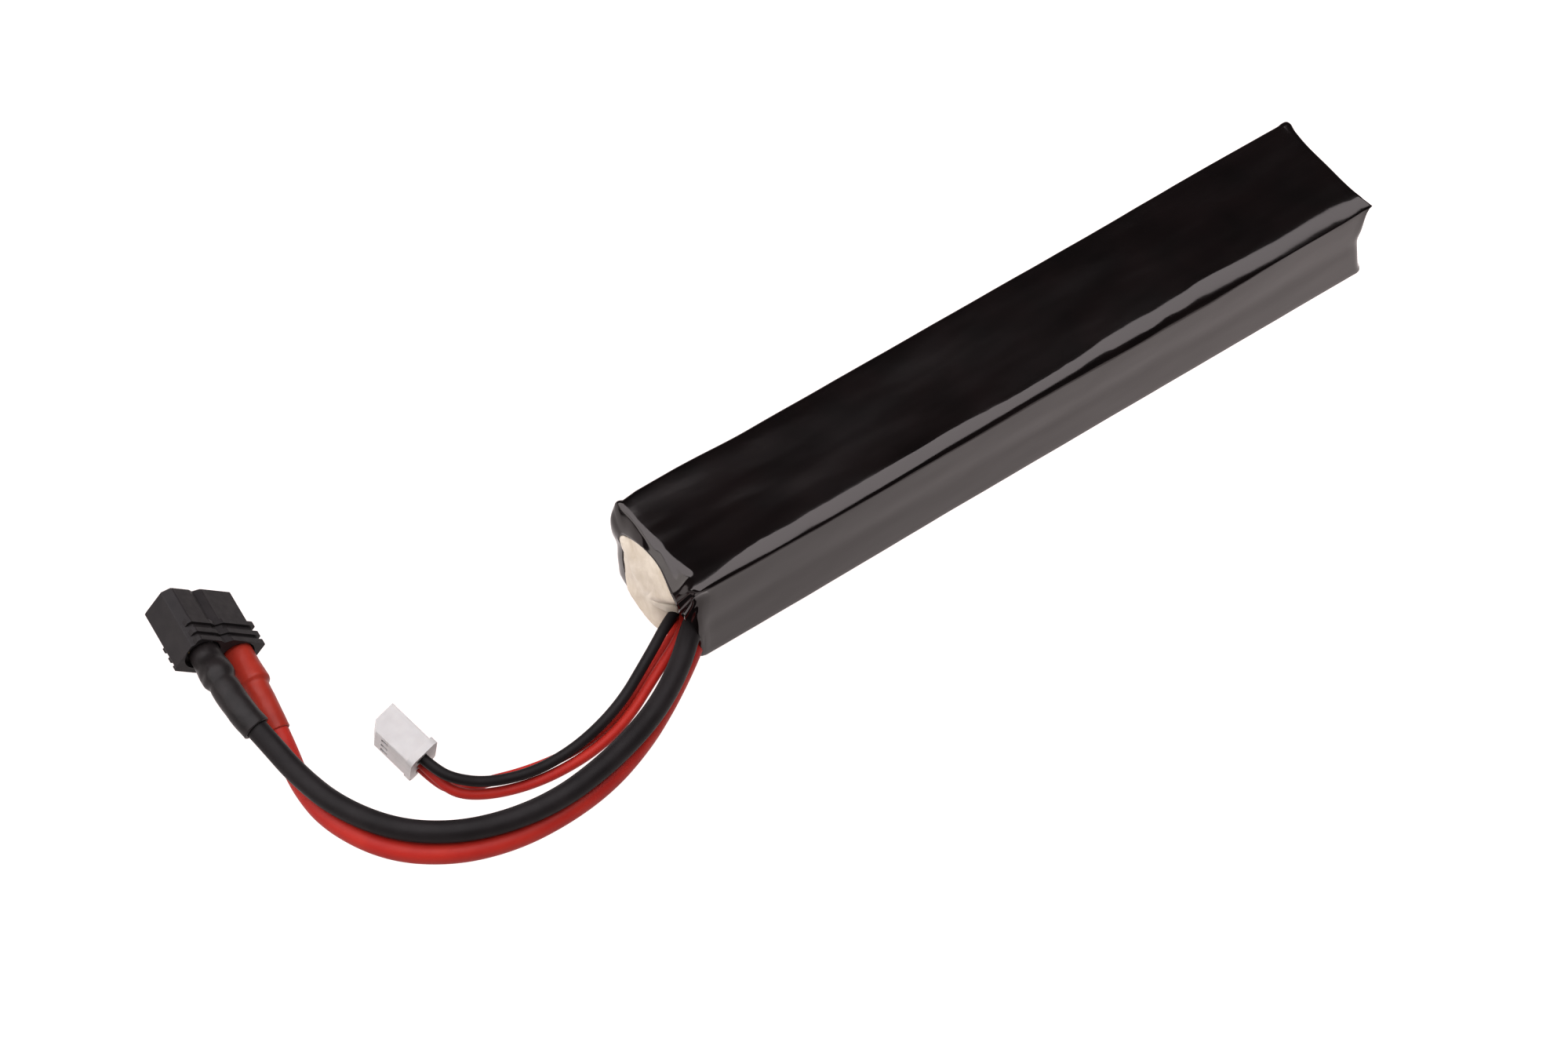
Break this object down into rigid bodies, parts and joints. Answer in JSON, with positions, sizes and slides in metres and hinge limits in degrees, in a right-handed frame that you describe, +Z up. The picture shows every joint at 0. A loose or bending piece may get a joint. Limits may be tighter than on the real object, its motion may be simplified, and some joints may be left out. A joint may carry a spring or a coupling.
{
  "type": "lithium polymer battery pack",
  "caption": "Slim stick battery pack in black shrink film with a cream end pad, a main lead pair to a T-plug and thin balance leads to a white plug.",
  "frame": {"origin": "middle of the pack's base, under the middle of the film sleeve and its end pad", "axes": "+X along the pack from the wire end to the far end, +Y across it, +Z up"},
  "size_m": [0.1994, 0.065, 0.0168],
  "materials": {
    "film": "glossy black shrink film",
    "pouch_foil": "satin laminate foil",
    "tab_nickel": "bare nickel",
    "solder": "satin solder",
    "bond_tape": "white foam tape",
    "band_tape": "amber polyimide tape",
    "fibre_sheet": "grey-green fish paper",
    "insulating_pad": "crinkled cream tape",
    "silicone_black": "satin silicone",
    "silicone_red": "satin silicone",
    "shrink_black": "semi-matte heat-shrink",
    "shrink_red": "semi-matte heat-shrink",
    "nylon_black": "matte moulded nylon",
    "nylon_white": "milky moulded nylon",
    "contact_brass": "gold-plated brass",
    "terminal_tin": "tinned bronze"
  },
  "bodies": {
    "root": {"shrink_sleeve": "film", "lower_cell": "pouch_foil", "upper_cell": "pouch_foil", "cell_bond_tape": "bond_tape", "cell_band_near": "band_tape", "cell_band_far": "band_tape", "lower_cell_positive_tab": "tab_nickel", "lower_cell_negative_tab": "tab_nickel", "upper_cell_positive_tab": "tab_nickel", "upper_cell_negative_tab": "tab_nickel", "series_link": "tab_nickel", "negative_bus_strip": "tab_nickel", "solder_joint_negative": "solder", "solder_joint_positive": "solder", "solder_joint_middle": "solder", "tab_insulator_sheet": "fibre_sheet", "end_insulator_pad": "insulating_pad", "main_lead_negative": "silicone_black", "main_lead_positive": "silicone_red", "balance_lead_negative": "silicone_black", "balance_lead_middle": "silicone_red", "balance_lead_positive": "silicone_red", "plug_sleeve_negative": "shrink_black", "plug_sleeve_positive": "shrink_red", "plug_solder_negative": "solder", "plug_solder_positive": "solder", "t_plug_housing": "nylon_black", "t_plug_contact_negative": "contact_brass", "t_plug_contact_positive": "contact_brass", "balance_plug_housing": "nylon_white", "balance_terminal_negative": "terminal_tin", "balance_terminal_middle": "terminal_tin", "balance_terminal_positive": "terminal_tin"}
  },
  "joints": []
}
